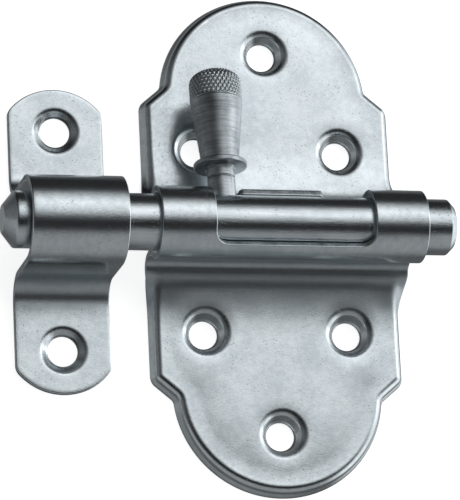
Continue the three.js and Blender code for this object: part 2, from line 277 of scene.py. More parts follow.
def add_mesh(name, vertices, faces, marks=(), smooth=True):
    """A mesh object from an array of points and a list of index arrays, each with 3 or 4 columns.

    The arrays whose numbers are in marks take the second material.
    """
    mesh = bpy.data.meshes.new(name)
    loops = np.concatenate([f.reshape(-1) for f in faces]).astype(np.int32)
    sizes = np.concatenate([np.full(len(f), f.shape[1]) for f in faces])
    starts = np.concatenate([[0], np.cumsum(sizes)[:-1]]).astype(np.int32)
    mesh.vertices.add(len(vertices))
    mesh.vertices.foreach_set("co", np.asarray(vertices, np.float32).reshape(-1))
    mesh.loops.add(len(loops))
    mesh.loops.foreach_set("vertex_index", loops)
    mesh.polygons.add(len(sizes))
    mesh.polygons.foreach_set("loop_start", starts)
    mesh.update(calc_edges=True)
    kinds = np.concatenate([np.full(len(f), i in marks, np.int32) for i, f in enumerate(faces)])
    mesh.polygons.foreach_set("material_index", kinds)
    mesh.polygons.foreach_set("use_smooth", np.full(len(mesh.polygons), smooth))
    made = bpy.data.objects.new(name, mesh)
    bpy.context.scene.collection.objects.link(made)
    return made


def grid_faces(rows, columns, start=0):
    """Quads of a grid of points whose columns close on themselves."""
    i = np.arange(rows - 1)[:, None] * columns
    j = np.arange(columns)[None, :]
    k = (j + 1) % columns
    quads = np.stack(np.broadcast_arrays(i + j, i + k, i + columns + k, i + columns + j), -1)
    return quads.reshape(-1, 4) + start


def turned(profile, segments, place, relief=None):
    """Surface of revolution: radius(t) round an axis, height(t) along it, less a relief(angle, t).

    The profile starts and ends on the axis, where one point closes each pole. place maps (across, side,
    along) to the model's frame.
    """
    body = profile[1:-1]
    a = np.arange(segments) * 2 * math.pi / segments
    radius = np.repeat(body[:, :1], segments, 1)
    if relief is not None:
        radius = radius - relief(a[None, :], body)
    rings = np.stack([radius * np.cos(a), radius * np.sin(a), np.repeat(body[:, 1:], segments, 1)], -1)
    points = np.concatenate([rings.reshape(-1, 3), [[0, 0, profile[0, 1]], [0, 0, profile[-1, 1]]]])
    j = np.arange(segments)
    k = (j + 1) % segments
    last = (len(body) - 1) * segments
    foot = np.stack([k, j, np.full(segments, len(points) - 2)], 1)
    top = np.stack([last + j, last + k, np.full(segments, len(points) - 1)], 1)
    return place(points), [grid_faces(len(body), segments), foot, top]


def along_bolt(points):
    """The turned body's axis laid along X at the bolt's height; positions along it are the model's X."""
    return np.stack([points[:, 2], points[:, 0], points[:, 1] + BOLT_HEIGHT], 1)


def knob_place(tilt):
    """The turned body's axis stood along the knob: out of the bolt's axis, leaning by tilt."""
    def place(points):
        y = points[:, 2] * math.cos(tilt) - points[:, 0] * math.sin(tilt)
        z = points[:, 2] * math.sin(tilt) + points[:, 0] * math.cos(tilt)
        return np.stack([KNOB_X + points[:, 1], y, z + BOLT_HEIGHT], 1)
    return place


class Bridge:
    """Section of a bent strip about the bolt: a round top, then on each side a wall or a tucked neck, a bend
    and a flat foot.

    The strip's own length s is 0 over the middle of the top and grows towards +Y. A tucked strip's round top
    runs on under the bolt by the angle at which it meets the bend's circle.
    """

    def __init__(self, radius, fillet, face, tucked):
        self.radius, self.fillet, self.face = radius, fillet, face
        rise = BOLT_HEIGHT - face - fillet
        self.tuck = math.asin(rise / (radius + fillet)) if tucked else 0
        self.flat_y = (radius + fillet) * math.cos(self.tuck)
        self.s_arc = radius * (math.pi / 2 + self.tuck)
        self.s_wall = self.s_arc + (0 if tucked else rise)
        self.s_foot = self.s_wall + fillet * (math.pi / 2 + self.tuck)

    def s_of_y(self, y):
        return np.sign(y) * (np.abs(y) - self.flat_y + self.s_foot)

    def s_of_height(self, z):
        s = np.linspace(0, self.s_foot, 2000)
        return float(np.interp(-z, -self.point(s)[0][:, 1], s))

    def point(self, s):
        """Position (y, z) and outward normal (y, z) at s, worked out piece by piece."""
        side = np.where(s < 0, -1.0, 1.0)
        s = np.abs(s)
        a = s / self.radius
        b = math.pi - self.tuck + (s - self.s_wall) / self.fillet
        on = [s <= self.s_arc, s <= self.s_wall, s <= self.s_foot]
        y = np.select(on, [self.radius * np.sin(a), np.full_like(s, self.radius),
                           self.flat_y + self.fillet * np.cos(b)], s - self.s_foot + self.flat_y)
        z = np.select(on, [BOLT_HEIGHT + self.radius * np.cos(a), BOLT_HEIGHT + self.s_arc - s,
                           self.face + self.fillet * (1 + np.sin(b))], np.full_like(s, self.face))
        ny = np.select(on, [np.sin(a), np.ones_like(s), -np.cos(b)], np.zeros_like(s))
        nz = np.select(on, [np.cos(a), np.zeros_like(s), -np.sin(b)], np.ones_like(s))
        return np.stack([side * y, z], -1), np.stack([side * ny, nz], -1)

    def lines(self, gap, end):
        """Values of s for grid lines, close together on the bends."""
        stops = [(0, self.s_arc, BEND_GAP), (self.s_arc, self.s_wall, gap),
                 (self.s_wall, self.s_foot, BEND_GAP), (self.s_foot, end, gap)]
        up = np.concatenate([np.linspace(a, b, max(2, int((b - a) / g)), endpoint=False)
                             for a, b, g in stops if b > a])
        return np.concatenate([-up[::-1], up[1:]])


class Sheet:
    """A pressed sheet gathered from rings and a triangulated field, then closed into one thick body.

    Every point has a place on the flat blank, a top place and a bottom place. The blank only decides how
    points are joined. Each open edge is closed by a strip whose two corners are quarter circles.
    """

    def __init__(self):
        self.flat, self.top, self.bottom, self.faces, self.edges = [], [], [], [], []
        self.count = 0

    def add(self, flat, top, bottom):
        self.flat.append(flat)
        self.top.append(top)
        self.bottom.append(bottom)
        first = self.count
        self.count += len(flat)
        return np.arange(first, self.count)

    def band(self, flat, top, bottom, edge_radius, flip=False):
        """Closed rings of points: the first ring borders the field, the last is the open edge."""
        rows, columns = flat.shape[:2]
        ids = self.add(flat.reshape(-1, 2), top.reshape(-1, 3), bottom.reshape(-1, 3)).reshape(rows, columns)
        quads = grid_faces(rows, columns, ids[0, 0])
        self.faces.append(quads[:, ::-1] if not flip else quads)
        self.edges.append((ids[-1] if not flip else ids[-1][::-1], edge_radius))
        return ids[0]

    def field(self, outline, holes, points, gap, raise_points):
        """Triangles of the blank inside outline and outside holes, through these loops and the free points
        that keep clear of them. raise_points gives the top and bottom places of free points."""
        loops = [outline] + holes
        blank = np.concatenate(self.flat)
        points = points[inside(points, blank[outline])]
        for hole in holes:
            points = points[~inside(points, blank[hole])]
        points = clear_of(points, blank[np.concatenate(loops)], 0.45 * gap)
        ids = self.add(points, *raise_points(points))
        used = np.concatenate(loops + [ids])
        flat = np.concatenate(self.flat)[used]
        sides, first = [], 0
        for loop in loops:
            here = np.arange(len(loop)) + first
            sides.append(np.stack([here, np.roll(here, -1)], 1))
            first += len(loop)
        made = delaunay_2d_cdt([Vector(p) for p in flat / MM], np.concatenate(sides).tolist(), [], 0, 1e-7)
        origin = np.array([o[0] for o in made[3]])
        triangles = used[origin[np.array(made[2])]]
        blank = np.concatenate(self.flat)
        middle = blank[triangles].mean(1)
        keep = inside(middle, blank[outline])
        for hole in holes:
            keep &= ~inside(middle, blank[hole])
        triangles = triangles[keep]
        a, b, c = (blank[triangles[:, i]] for i in range(3))
        turn = (b - a)[:, 0] * (c - a)[:, 1] - (b - a)[:, 1] * (c - a)[:, 0]
        triangles[turn < 0] = triangles[turn < 0][:, ::-1]
        self.faces.append(triangles[np.abs(turn) > 1e-14])

    def build(self, name):
        top, bottom = np.concatenate(self.top), np.concatenate(self.bottom)
        points = [top, bottom]
        faces = list(self.faces) + [f[:, ::-1] + self.count for f in self.faces]
        start = 2 * self.count
        cut = []
        for loop, radius in self.edges:
            t, b = top[loop], bottom[loop]
            along = np.roll(t, -1, 0) - np.roll(t, 1, 0)
            down = b - t
            depth = np.linalg.norm(down, axis=1, keepdims=True)
            down = down / depth
            out = np.cross(down, along)
            out /= np.linalg.norm(out, axis=1, keepdims=True)
            turn = np.linspace(0, math.pi / 2, CORNER_STEPS + 1)
            rings = [t + out * radius * math.sin(a) + down * radius * (1 - math.cos(a)) for a in turn[1:]]
            rings += [b + out * radius * math.cos(a) - down * radius * (1 - math.sin(a)) for a in turn[:-1]]
            n = len(loop)
            rows = [loop] + [start + i * n + np.arange(n) for i in range(len(rings))] + [loop + self.count]
            points += rings
            start += len(rings) * n
            cut.append(len(faces) + len(rows) // 2 - 1)
            for lower, upper in zip(rows[:-1], rows[1:]):
                faces.append(np.stack([lower, upper, np.roll(upper, -1), np.roll(lower, -1)], 1))
        return add_mesh(name, np.concatenate(points), faces, cut)


def inside(points, outline):
    """Whether each point lies inside the closed outline, by counting the sides that a ray to +X crosses."""
    a, b = outline, np.roll(outline, -1, 0)
    x, y = points[:, :1], points[:, 1:]
    spans = (a[:, 1] > y) != (b[:, 1] > y)
    with np.errstate(divide="ignore", invalid="ignore"):
        cross = a[:, 0] + (y - a[:, 1]) * (b[:, 0] - a[:, 0]) / (b[:, 1] - a[:, 1])
    return ((spans & (x < cross)).sum(1) % 2).astype(bool)


def clear_of(points, others, gap):
    """The points that keep at least gap from all the others."""
    keep = np.ones(len(points), bool)
    for i in range(0, len(points), 2000):
        apart = points[i:i + 2000, None] - others[None]
        keep[i:i + 2000] = (apart ** 2).sum(-1).min(1) > gap * gap
    return points[keep]


def plate_outline(sizes, bridge, inset, gap):
    """The plate's edge on the flat blank, moved in by inset, counter-clockwise from the right side at the
    bolt. A quarter is the straight side, the shoulder's outer corner, the hollow beside it and the lobe's
    round end, which are three arcs that touch; the other quarters mirror it.
    """
    half = sizes.width / 2
    lobe = half - sizes.lobe_step
    lobe_y = PLATE_HIGH[1] - lobe
    turn, start = sizes.shoulder_turn, sizes.lobe_start
    reach = lobe + sizes.shoulder_in
    hollow_x, hollow_y = reach * math.cos(start), lobe_y + reach * math.sin(start)
    corner_x = half - sizes.shoulder_out
    across = (hollow_x - corner_x) * math.cos(turn)
    corner_y = hollow_y - (sizes.shoulder_out + sizes.shoulder_in - across) / math.sin(turn)
    quarter = np.concatenate([
        arc(corner_x, corner_y, sizes.shoulder_out - inset, 0, turn, math.radians(8)),
        arc(hollow_x, hollow_y, sizes.shoulder_in + inset, turn + math.pi, start + math.pi,
            math.radians(7))[1:],
        arc(0, lobe_y, lobe - inset, start, math.pi / 2, math.radians(2))[1:]])
    return four_quarters(quarter, bridge, gap)


def keeper_outline(sizes, bridge, inset, gap):
    """The keeper's edge on the flat blank, moved in by inset: straight sides, small corners, round ends."""
    end_y = KEEPER_HIGH[1] - sizes.end_radius
    corner_x = (KEEPER_HIGH[0] - KEEPER_LOW[0]) / 2 - sizes.corner
    corner_y = end_y + math.sqrt((sizes.end_radius - sizes.corner) ** 2 - corner_x ** 2)
    meet = math.atan2(corner_y - end_y, corner_x)
    quarter = np.concatenate([
        arc(corner_x, corner_y, sizes.corner - inset, 0, meet, math.radians(6)),
        arc(0, end_y, sizes.end_radius - inset, meet, math.pi / 2, math.radians(3))[1:]])
    return four_quarters(quarter, bridge, gap)


def four_quarters(quarter, bridge, gap):
    """A whole outline on the blank from its upper right quarter in the plan, with the side added below it."""
    quarter[:, 1] += bridge.s_foot - bridge.flat_y
    rise = np.linspace(0, quarter[0, 1], int(quarter[0, 1] / gap), endpoint=False)
    quarter = np.concatenate([np.stack([np.full_like(rise, quarter[0, 0]), rise], 1), quarter])
    upper = np.concatenate([quarter, quarter[-2::-1] * (-1, 1)])
    return np.concatenate([upper, upper[-2:0:-1] * (1, -1)])


def grown(loop, distance):
    """A closed counter-clockwise loop pushed outwards, each point square to its neighbours' chord."""
    chord = np.roll(loop, -1, 0) - np.roll(loop, 1, 0)
    chord /= np.linalg.norm(chord, axis=1, keepdims=True)
    return loop + np.stack([chord[:, 1], -chord[:, 0]], 1) * distance


def rows_normal(points):
    """Normals of a grid of rows of closed loops, from the cross product of its two directions."""
    around = np.roll(points, -1, 1) - np.roll(points, 1, 1)
    across = np.gradient(points, axis=0)
    normal = np.cross(across, around)
    return normal / np.linalg.norm(normal, axis=2, keepdims=True)


def lattice(bridge, half_x, gap, end):
    """Free points on the blank: even columns, and rows that stand close together on the bends."""
    x = np.arange(-half_x, half_x + gap / 2, gap)
    s = bridge.lines(gap, end)
    grid = np.stack(np.meshgrid(x, s), -1)
    grid[1::2, :, 0] += gap / 2
    return grid.reshape(-1, 2)


def raised(bridge, flat, thick, middle_x):
    """Top and bottom places of points on the blank: the section's point, and that point less its normal times
    the thickness."""
    yz, normal = bridge.point(flat[..., 1])
    x = flat[..., :1] + middle_x
    return np.concatenate([x, yz], -1), np.concatenate([x, yz - normal * thick], -1)


def swell(sizes, bridge, s):
    """Rise of the face beside the sleeve: a parabola that falls to nothing at the swell's end, and a soft
    start inside the bend."""
    y = np.abs(bridge.point(s)[0][..., 0])
    start = SWELL_TOP * bridge.flat_y
    fall = np.clip((sizes.swell_end - y) / (sizes.swell_end - start), 0, 1) ** 2
    rise = smooth_step((y - bridge.flat_y + bridge.fillet) / (start - bridge.flat_y + bridge.fillet))
    outside = np.abs(s) > bridge.s_wall + SWELL_FOOT * bridge.fillet
    return sizes.swell * np.where(y > start, fall, rise) * outside


def pillow(sizes, bridge, flat, outline):
    """Fall of the face towards its rim: the square of how deep a point lies in the strip along the rim. The
    distance to the rim is a soft minimum, minus the log of the summed exponentials, so that no crease runs in
    from a corner."""
    soft = 1.2 * MM
    near = -soft * np.concatenate([
        np.log(np.exp(-np.sqrt(((part[:, None] - outline[None]) ** 2).sum(-1)) / soft).sum(1))
        for part in np.array_split(flat, len(flat) // 1500 + 1)])
    deep = np.clip(1 - near / sizes.pillow_reach, 0, 1)
    return sizes.pillow * deep ** 2 * rim_share(bridge, flat[:, 1])


def rim_share(bridge, s):
    """1 where the rim is folded fully down, 0 at the sleeve."""
    fold_start, fold_length = 4 * MM, 9 * MM
    return smooth_step((np.abs(s) - bridge.s_foot + fold_start) / fold_length)


def leaning_lip(sizes, bridge, flat, top, bottom):
    """The same places with the lip bent out: its inner face is a straight line from the root to the lip's
    edge, its outer face lies one thickness beyond, and both fade into the section beyond the lip's ends."""
    root = bridge.s_of_height(BOLT_HEIGHT - sizes.lip_root)
    edge = bridge.s_of_height(BOLT_HEIGHT - sizes.lip_drop)
    (foot_y, foot_z), (normal_y, normal_z) = (v[0] for v in bridge.point(np.array([root])))
    first = np.array([foot_y - normal_y * sizes.sheet, foot_z - normal_z * sizes.sheet])
    last = np.array([sizes.bore + sizes.lip_lean, BOLT_HEIGHT - sizes.lip_drop])
    way = last - first
    out = np.array([way[1], -way[0]]) / np.linalg.norm(way) * sizes.sheet
    along = (root - flat[..., 1:]) / (root - edge)
    inner = first + way * along
    half = TRAVEL / 2 + sizes.stud_room - sizes.notch
    fade, lean_by, margin = 1.8 * MM, 0.45, 1 * MM
    share_x = 1 - smooth_step((np.abs(flat[..., :1]) - half) / fade)
    weight = share_x * smooth_step(along / lean_by) * (flat[..., 1:] > edge - margin)
    top, bottom = top.copy(), bottom.copy()
    top[..., 1:] += weight * (inner + out - top[..., 1:])
    bottom[..., 1:] += weight * (inner - bottom[..., 1:])
    return top, bottom


def build_plate(sizes):
    """One sheet: a field over the blank, a rim folded down round it, dimpled holes, the slot and its lip."""
    bridge = Bridge(sizes.bore + sizes.sheet, sizes.fillet, sizes.face, True)
    thick, edge, gap = sizes.sheet, PLATE_EDGE, PLATE_GAP
    sheet = Sheet()

    # Rim: its profile in (inset, height), from the flat face out, over the bend and down to the foot.
    round_x = sizes.flare + sizes.rim
    round_z = sizes.face - sizes.rim
    start = round_x + 0.2 * MM
    bend = arc(round_x, round_z, sizes.rim, math.pi / 2, math.pi, math.radians(11))
    foot = rounded([bend[-1], (0.1 * MM, 0.7 * MM), (0, edge)], [0, 1.2 * MM, 0], closed=False)
    profile = spaced(np.concatenate([[(start, sizes.face)], bend, foot[1:]]), FINE_GAP, closed=False)
    share_out = run_length(profile) / run_length(profile)[-1]
    over = PLATE_HIGH[0] - PLATE_X - sizes.width / 2
    straight = start + (edge - over - start) * share_out
    rings = np.stack([plate_outline(sizes, bridge, inset, gap) for inset in profile[:, 0]])
    fold = rim_share(bridge, rings[0, :, 1])
    inset = fold * profile[:, :1] + (1 - fold) * straight[:, None]
    on_side = fold < 1
    rings[:, on_side, 0] = (np.sign(rings[0, :, 0]) * (sizes.width / 2 - inset))[:, on_side]
    top, _ = raised(bridge, rings, thick, PLATE_X)
    lift = swell(sizes, bridge, rings[0, :, 1]) - fold * sizes.pillow
    top[..., 2] += fold * (profile[:, 1:] - sizes.face) + lift * (1 - fold * share_out[:, None])
    bottom = top - rows_normal(top) * thick
    bottom[..., 2] = np.maximum(bottom[..., 2], edge)
    outline = sheet.band(rings, top, bottom, edge)

    # Screw holes: a cone pressed down to the surface, with a soft outer edge.
    shoulder, brow, sag = 1.8 * MM, 0.5 * MM, 0.12 * MM
    throat, throat_height = 1.15 * MM, 3.1 * MM
    slope = rounded([(sizes.dimple + shoulder, sizes.face), (sizes.dimple - brow, sizes.face - sag),
                     (sizes.hole + throat, throat_height), (sizes.hole + edge, HOLE_FOOT)],
                    [0, 2.4 * MM, 0.7 * MM, 0], math.radians(8), closed=False)
    slope = spaced(slope, 0.8 * MM, closed=False)
    run = np.gradient(slope, axis=0)
    run /= np.linalg.norm(run, axis=1, keepdims=True)
    under = slope + np.stack([-run[:, 1], run[:, 0]], 1) * thick
    under[:, 1] = np.maximum(under[:, 1], 0)
    close = smooth_step(1 - (slope[:, 0] - sizes.hole - edge) / (0.9 * MM))
    under[:, 0] = under[:, 0] * (1 - close) + slope[:, 0] * close
    side = [(i * sizes.side_hole_x, j * sizes.side_hole_y) for i in (-1, 1) for j in (-1, 1)]
    loops = []
    for x, y in side + [(0, sizes.end_hole), (0, -sizes.end_hole)]:
        top, bottom = (ring(line, (PLATE_X + x, y)) for line in (slope, under))
        blank = slope[:, None, :1] * HOLE_CIRCLE + (x, bridge.s_of_y(y))
        fall = pillow(sizes, bridge, blank.reshape(-1, 2), rings[0]).reshape(blank.shape[:2])
        lift = (swell(sizes, bridge, blank[..., 1]) - fall) * smooth_step(
            (slope[:, 1:] - HOLE_FOOT) / (sizes.face - HOLE_FOOT))
        top[..., 2] += lift
        bottom[..., 2] += lift
        loops.append(sheet.band(blank, top, bottom, edge, flip=True))

    # Slot: front edge on one side of the crown, lip and notches on the other side's wall.
    half = TRAVEL / 2 + sizes.stud_room
    lip = half - sizes.notch
    front = -(sizes.slot_front - math.pi / 2) * bridge.radius
    lip_s = bridge.s_of_height(BOLT_HEIGHT - sizes.lip_drop)
    notch_s = bridge.s_of_height(BOLT_HEIGHT - sizes.notch_drop)
    corners = [(-half, front), (half, front), (half, notch_s), (lip, notch_s), (lip, lip_s), (-lip, lip_s),
               (-lip, notch_s), (-half, notch_s)]
    big, small, root, tip = sizes.slot_corner, 0.9 * MM, 0.25 * MM, 1.05 * MM
    radii = [big, big, small, root, tip, tip, root, small]
    slot = spaced(rounded(corners, radii, math.radians(10)), FINE_GAP)
    slot = np.stack([grown(slot, d) for d in (0.5 * MM, edge)])

    def pressed(flat, fall=0):
        top, bottom = raised(bridge, flat, thick, PLATE_X)
        lift = swell(sizes, bridge, flat[..., 1]) - fall
        top[..., 2] += lift
        bottom[..., 2] += lift
        return leaning_lip(sizes, bridge, flat, top, bottom)

    loops.append(sheet.band(slot, *pressed(slot), edge, flip=True))
    points = lattice(bridge, sizes.width / 2 + over, gap, bridge.s_of_y(PLATE_HIGH[1]))
    sheet.field(outline, loops, points, gap,
                lambda free: pressed(free, pillow(sizes, bridge, free, rings[0])))
    return sheet.build("plate_sheet")


def build_keeper(sizes):
    """One strip bent over the bolt, with two countersunk holes."""
    bridge = Bridge(sizes.inner + sizes.sheet, sizes.fillet, sizes.sheet, False)
    thick, edge, gap = sizes.sheet, KEEPER_EDGE, KEEPER_GAP
    sheet = Sheet()
    rings = np.stack([keeper_outline(sizes, bridge, inset, gap) for inset in (1 * MM, edge)])
    outline = sheet.band(rings, *raised(bridge, rings, thick, KEEPER_X), edge)
    slope = rounded([(sizes.sink + 1.2 * MM, thick), (sizes.sink, thick), (sizes.hole + edge, 0.4 * MM)],
                    [0, 2.0 * MM, 0], math.radians(6), closed=False)
    slope = spaced(slope, FINE_GAP, closed=False)
    loops = []
    for y in (-sizes.hole_y, sizes.hole_y):
        blank = slope[:, None, :1] * HOLE_CIRCLE + (0, bridge.s_of_y(y))
        top, bottom = (ring(line, (KEEPER_X, y)) for line in (slope, slope * (1, 0)))
        loops.append(sheet.band(blank, top, bottom, KEEPER_HOLE_EDGE, flip=True))
    points = lattice(bridge, KEEPER_HIGH[0] - KEEPER_X, gap, bridge.s_of_y(KEEPER_HIGH[1]))
    sheet.field(outline, loops, points, gap, lambda free: raised(bridge, free, thick, KEEPER_X))
    return sheet.build("keeper_strip")


def build_bar(sizes):
    """The round bar: flat at the seam, bevelled and slightly rounded at the tail."""
    seam = (BAR_LOW[0] + NOSE_HIGH[0]) / 2
    tail, bevel = BAR_HIGH[0], sizes.tail_bevel
    profile = closed_profile([(0, seam), (BOLT_RADIUS, seam), (BOLT_RADIUS, tail - bevel),
                              (BOLT_RADIUS - bevel, tail), (0, tail)], [0, 0, 0.5 * MM, 0.4 * MM, 0], 3 * MM)
    return add_mesh("bolt_round_bar", *turned(profile, BAR_SIDES, along_bolt))


def build_nose(sizes):
    """The bar's nose: a cone with a rounded shoulder and a small flat."""
    seam, tip = (BAR_LOW[0] + NOSE_HIGH[0]) / 2, NOSE_LOW[0]
    profile = closed_profile([(0, tip), (sizes.nose_flat, tip), (BOLT_RADIUS, tip + sizes.nose_cone),
                              (BOLT_RADIUS, seam), (0, seam)], [0, 0.9 * MM, 0.8 * MM, 0, 0], 2 * MM)
    return add_mesh("bolt_nose_cone", *turned(profile, BAR_SIDES, along_bolt))


def build_stud(sizes):
    """The stud: a plain stem with one fine groove and a light ring under the collar."""
    foot, top, r = 2.3 * MM, sizes.collar_at + 0.3 * MM, sizes.stud
    groove, deep, proud = sizes.collar_at - 2.6 * MM, 0.28 * MM, 0.35 * MM
    profile = closed_profile(
        [(0, foot), (r, foot), (r, groove - deep), (r - deep, groove), (r, groove + deep),
         (r, sizes.collar_at - 2 * proud), (r + proud, sizes.collar_at - proud), (r + proud, top), (0, top)],
        [0, 0.2 * MM, 0.12 * MM, 0.1 * MM, 0.12 * MM, 0.1 * MM, 0.15 * MM, 0.05 * MM, 0], 1.5 * MM,
        math.radians(20))
    return add_mesh("knob_stem", *turned(profile, STEM_SIDES, knob_place(sizes.tilt)))


def build_grip(sizes):
    """Collar, cone and domed head. The head is cut by two sets of helical grooves: its height is the smaller
    of two triangle waves, each of the angle plus or minus the length run along the profile."""
    c, r, dome = sizes.collar_at, sizes.cone_high, sizes.top - sizes.dome_start
    collar_top = c + sizes.collar_thick
    low = rounded([(0, c), (sizes.collar, c), (sizes.collar, collar_top), (sizes.cone_low, collar_top),
                   (r - 0.08 * MM, sizes.cone_end - 0.4 * MM), (r - 0.22 * MM, sizes.cone_end - 0.2 * MM),
                   (r - 0.12 * MM, sizes.cone_end)],
                  [0, 0.3 * MM, 0.3 * MM, 0.35 * MM, 0.15 * MM, 0.1 * MM, 0], math.radians(15), closed=False)
    low = np.concatenate([low[:1], spaced(low[1:], 1.6 * MM, closed=False)])
    head = rounded([(r - 0.12 * MM, sizes.cone_end), (r, sizes.cone_end + 0.4 * MM), (r, sizes.dome_start)],
                   [0, 0.4 * MM, 0], closed=False)
    crown = arc(0, 0, 1, 0, math.radians(88.5), math.radians(2)) * (r, dome) + (0, sizes.dome_start)
    head = np.concatenate([head[:-1], crown])
    run = run_length(head)
    even = np.arange(0, run[-1], KNURL_PITCH / KNURL_STEPS)
    head = np.stack([np.interp(even, run, head[:, 0]), np.interp(even, run, head[:, 1])], 1)
    profile = np.concatenate([low[:-1], head, [[0, sizes.top]]])

    def knurl(angle, body):
        """Depth of the grooves: 0 on the cone, where along is 0, fading at the head's start and middle."""
        turns = sizes.knurls * angle / (2 * math.pi)
        along = np.concatenate([np.zeros(len(body) - len(head)), even])[:, None] / KNURL_PITCH
        ridge = np.minimum(*(1 - np.abs(2 * np.mod(turns + sign * along, 1) - 1) for sign in (1, -1)))
        fade = smooth_step(along * KNURL_PITCH / (0.5 * MM)) * smooth_step((body[:, :1] / r - 0.1) / 0.35)
        return sizes.knurl_depth * (1 - ridge) * fade

    points, faces = turned(profile, sizes.knurls * KNURL_STEPS, knob_place(sizes.tilt), knurl)
    return add_mesh("knob_knurled_grip", points, faces)


# ---------------------------------------------------------------- finishes

CLOUD_SIZE = 9 * MM
WORN_EDGE = (0.53, 0.60)
PIT_STRENGTH = 0.42
STRETCH = 0.03

class Signal:
    """A shader socket that adds Math nodes when it is used in an expression."""

    def __init__(self, recipe, socket):
        self.recipe, self.socket = recipe, socket

    def maths(self, operation, *values, **settings):
        return self.recipe.maths(operation, *values, **settings)

    def __add__(self, other):
        return self.maths("ADD", self, other)

    def __mul__(self, other):
        return self.maths("MULTIPLY", self, other)

    def __sub__(self, other):
        return self.maths("SUBTRACT", self, other)

    def __rsub__(self, other):
        return self.maths("SUBTRACT", other, self)

    def within(self):
        return self.maths("ADD", self, 0.0, use_clamp=True)

    __radd__ = __add__
    __rmul__ = __mul__


class Recipe:
    """Node tree of one finish or of the surroundings."""

    def __init__(self, owner):
        self.owner = owner
        owner.use_nodes = True
        self.tree = owner.node_tree
        self.tree.nodes.clear()

    def node(self, kind, settings, inputs):
        """A new node's outputs: settings are its own, inputs go to its sockets by name or number."""
        made = self.tree.nodes.new(kind)
        for name, value in settings.items():
            if name == "stops":
                ramp = made.color_ramp
                for at, shade in value[1:-1]:
                    ramp.elements.new(at)
                for element, (at, shade) in zip(ramp.elements, value):
                    element.position = at
                    element.color = (shade,) * 3 + (1,) if np.isscalar(shade) else tuple(shade) + (1,)
            else:
                setattr(made, name, value)
        for name, value in inputs.items():
            if isinstance(value, Signal):
                self.tree.links.new(value.socket, made.inputs[name])
            else:
                made.inputs[name].default_value = value
        return [Signal(self, output) for output in made.outputs]

    def maths(self, operation, *values, **settings):
        return self.node("ShaderNodeMath", {"operation": operation, **settings}, dict(enumerate(values)))[0]

    def place(self, move=(0, 0, 0), turn=(0, 0, 0), scale=(1, 1, 1)):
        """The piece's own coordinates: scaled, turned, then moved."""
        where = self.node("ShaderNodeTexCoord", {}, {})[3]
        return self.node("ShaderNodeMapping", {}, {"Vector": where, "Location": move, "Rotation": turn,
                                                   "Scale": scale})[0]

    def noise(self, where, size, detail=2.0, rough=0.5):
        """Soft noise whose lumps are about size across."""
        return self.node("ShaderNodeTexNoise", {}, {"Vector": where, "Scale": 1 / size, "Detail": detail,
                                                    "Roughness": rough})[0]

    def cells(self, where, size):
        """Distance to the nearest of a scatter of points about size apart."""
        return self.node("ShaderNodeTexVoronoi", {}, {"Vector": where, "Scale": 1 / size})[0]

    def pointiness(self):
        """0.5 on a plain face, more on a ridge and less in a hollow."""
        return self.node("ShaderNodeNewGeometry", {}, {})[7]

    def ramp(self, value, *stops):
        """Brightness along a value, from (value, brightness) stops."""
        return self.node("ShaderNodeValToRGB", {"stops": stops}, {0: value})[0]

    def between(self, value, low, high):
        """0 below low, 1 above high, soft between."""
        return self.node("ShaderNodeMapRange", {"interpolation_type": "SMOOTHSTEP"},
                         {"Value": value, "From Min": low, "From Max": high})[0]

    def mixed(self, factor, first, second):
        """Colour between two, by a factor."""
        first, second = (c if isinstance(c, Signal) else tuple(c) + (1,) for c in (first, second))
        return self.node("ShaderNodeMix", {"data_type": "RGBA"}, {0: factor, 6: first, 7: second})[2]

    def bumps(self, *layers):
        """Normal raised by one (height, distance) layer over another."""
        normal = {}
        for height, distance in layers:
            made = self.node("ShaderNodeBump", {}, {"Height": height, "Distance": distance, **normal})
            normal = {"Normal": made[0]}
        return made[0]

    def metal(self, colour, roughness, normal):
        shader = self.node("ShaderNodeBsdfPrincipled", {}, {"Base Color": colour, "Roughness": roughness,
                                                            "Metallic": 1.0, "Normal": normal})[0]
        self.node("ShaderNodeOutputMaterial", {}, {"Surface": shader})
        return self.owner


def pitted(r, finish, tone, pits):
    """The tone with darker pits and brighter worn edges, and how worn the surface is."""
    worn = r.between(r.pointiness(), *WORN_EDGE)
    tone = r.mixed(pits * PIT_STRENGTH, tone, finish.zinc_pit)
    return r.mixed(worn * 0.5, tone, finish.worn), worn


def zinc_sheet(finish, name, move, crease_shade_share):
    """Pressed zinc plated sheet: cloudy patches, small dents, pits, brighter worn edges, and painted shade in
    the bend below the sleeve, which is also made rougher there (the last argument sets its strength, 0 to 1)."""
    r = Recipe(bpy.data.materials.new(name))
    where = r.place(move=move)
    cloud = r.noise(where, CLOUD_SIZE, 4.0, 0.62)
    patch = r.noise(where, 1.5 * MM, 3.0, 0.6)
    grain = r.noise(where, 0.42 * MM, 2.0, 0.6)
    pits = 1 - r.between(r.cells(where, 0.85 * MM), 0.04, 0.2)
    pits = pits * r.between(r.noise(where, 5 * MM), 0.42, 0.58)
    split = r.node("ShaderNodeSeparateXYZ", {}, {0: r.place()})
    # Painted shade: a band in the bend below the sleeve, where the sleeve shades the face, is darkened
    # towards the pit colour and made rougher.
    below = r.between(split[1], -21 * MM, -12 * MM) * (1 - r.between(split[1], -5 * MM, -3 * MM))
    fold = below * (1 - r.between(split[2], 8.5 * MM, 11.5 * MM)) * crease_shade_share
    dull = r.between(cloud * 0.45 + patch * 0.35 + grain * 0.2, 0.38, 0.62)
    tone = r.mixed(dull, finish.zinc_light, finish.zinc_dark)
    tone = r.mixed(fold * 0.5, tone, finish.zinc_pit)
    tone, worn = pitted(r, finish, tone, pits)
    rough = (finish.plate_gloss - 0.08) + cloud * 0.12 + grain * 0.08 - worn * 0.06 + fold * 0.16
    normal = r.bumps((r.noise(where, CLOUD_SIZE), 0.08 * MM), (patch, 0.014 * MM), (grain, 0.018 * MM),
                     (1 - pits, 0.025 * MM))
    return r.metal(tone, rough.within(), normal)


